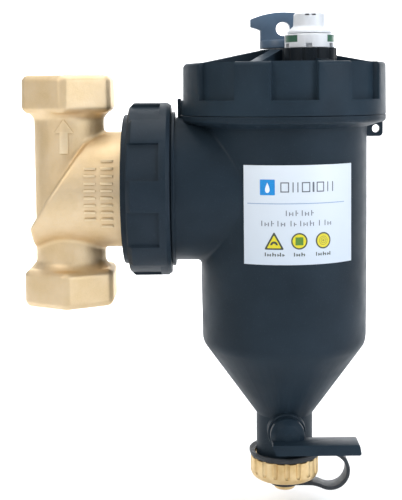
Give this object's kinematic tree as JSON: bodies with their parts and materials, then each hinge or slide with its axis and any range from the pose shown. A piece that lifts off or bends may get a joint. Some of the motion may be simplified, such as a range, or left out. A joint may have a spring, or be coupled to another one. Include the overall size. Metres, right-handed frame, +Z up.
{
  "type": "magnetic system filter",
  "caption": "Heating system filter: a black plastic canister with screw cap, pull-out magnet, air vent and drain valve, held by a swivelling union on a brass pipe tee.",
  "frame": {"origin": "centre of the brass tee's lower (inlet) thread mouth", "axes": "+Z up the pipe from inlet to outlet, +X along the side port towards the canister, -Y the front with the label and the drain lever"},
  "size_m": [0.1597, 0.0904, 0.2144],
  "materials": {
    "cast_brass": "sand-blasted casting",
    "machined_brass": "turned",
    "drain_cap_brass": "satin",
    "chromed_brass": "polished",
    "black_nylon": "fine moulded grain",
    "grey_inner_plastic": "moulded",
    "slate_plastic": "moulded",
    "white_plastic": "moulded",
    "green_plastic": "moulded",
    "white_ptfe": "turned",
    "black_rubber": "moulded",
    "strap_rubber": "moulded",
    "stainless_steel": "drawn",
    "spring_steel": "stamped",
    "soft_iron": "turned",
    "nickel_magnet": "nickel plated",
    "label_film": "printed film"
  },
  "bodies": {
    "tee": {"tee_casting": "cast_brass", "port_o_ring": "black_rubber", "retaining_ring": "machined_brass"},
    "union_nut": {"union_nut": "black_nylon"},
    "housing": {"housing": "black_nylon", "label": "label_film", "flow_duct": "grey_inner_plastic", "duct_seal": "black_rubber", "upper_seat": "white_ptfe", "lower_seat": "white_ptfe", "drain_outlet": "machined_brass", "stem_bush": "machined_brass"},
    "strainer": {"strainer_frame": "grey_inner_plastic", "strainer_mesh": "stainless_steel", "cap_o_ring": "black_rubber"},
    "cap": {"cap": "black_nylon", "magnet_pocket": "stainless_steel", "pocket_o_ring": "black_rubber", "vent_body": "white_plastic", "vent_core": "green_plastic", "vent_o_ring": "black_rubber"},
    "vent_knob": {"vent_knob": "white_plastic", "vent_needle": "machined_brass"},
    "magnet": {"magnet_handle": "slate_plastic", "magnet_tube": "stainless_steel", "magnet_end_plug": "stainless_steel", "magnets": "nickel_magnet", "pole_pieces": "soft_iron"},
    "drain_valve": {"stem_o_ring": "black_rubber", "drain_ball": "chromed_brass", "drain_stem": "machined_brass", "drain_lever": "black_nylon", "lever_clip": "spring_steel"},
    "drain_cap": {"drain_cap": "drain_cap_brass"},
    "drain_strap": {"drain_cap_washer": "black_rubber", "drain_strap": "strap_rubber"}
  },
  "joints": [
    {"name": "union_nut_turn", "type": "hinge", "parent": "tee", "child": "union_nut", "pos_m": [0.035, 0, 0.05065], "axis": [1, 0, 0], "continuous": true},
    {"name": "housing_swivel", "type": "hinge", "parent": "tee", "child": "housing", "pos_m": [0.04, 0, 0.05065], "axis": [1, 0, 0], "continuous": true},
    {"name": "cap_lift", "type": "slide", "parent": "housing", "child": "strainer", "axis": [0, 0, 1], "range_m": [0, 0.0121]},
    {"name": "cap_turn", "type": "hinge", "parent": "strainer", "child": "cap", "pos_m": [0.095, 0, 0.09], "axis": [0, 0, 1], "range_deg": [0, 1080]},
    {"name": "magnet_slide", "type": "slide", "parent": "cap", "child": "magnet", "axis": [0, 0, 1], "range_m": [0, 0.118]},
    {"name": "vent_turn", "type": "hinge", "parent": "cap", "child": "vent_knob", "pos_m": [0.105, -0.0195, 0.118], "axis": [0, 0, 1], "range_deg": [0, 360]},
    {"name": "drain_lever_turn", "type": "hinge", "parent": "housing", "child": "drain_valve", "pos_m": [0.095, -0.016, -0.056], "axis": [0, 1, 0], "range_deg": [0, 90]},
    {"name": "drain_cap_lower", "type": "slide", "parent": "housing", "child": "drain_strap", "axis": [0, 0, -1], "range_m": [0, 0.0055]},
    {"name": "drain_cap_turn", "type": "hinge", "parent": "drain_strap", "child": "drain_cap", "pos_m": [0.095, 0, -0.075], "axis": [0, 0, -1], "range_deg": [0, 1080]}
  ],
  "couplings": [
    {"joint": "cap_lift", "follows": "cap_turn", "m_per_rad": 0.00063662},
    {"joint": "drain_cap_lower", "follows": "drain_cap_turn", "m_per_rad": 0.00028871}
  ]
}
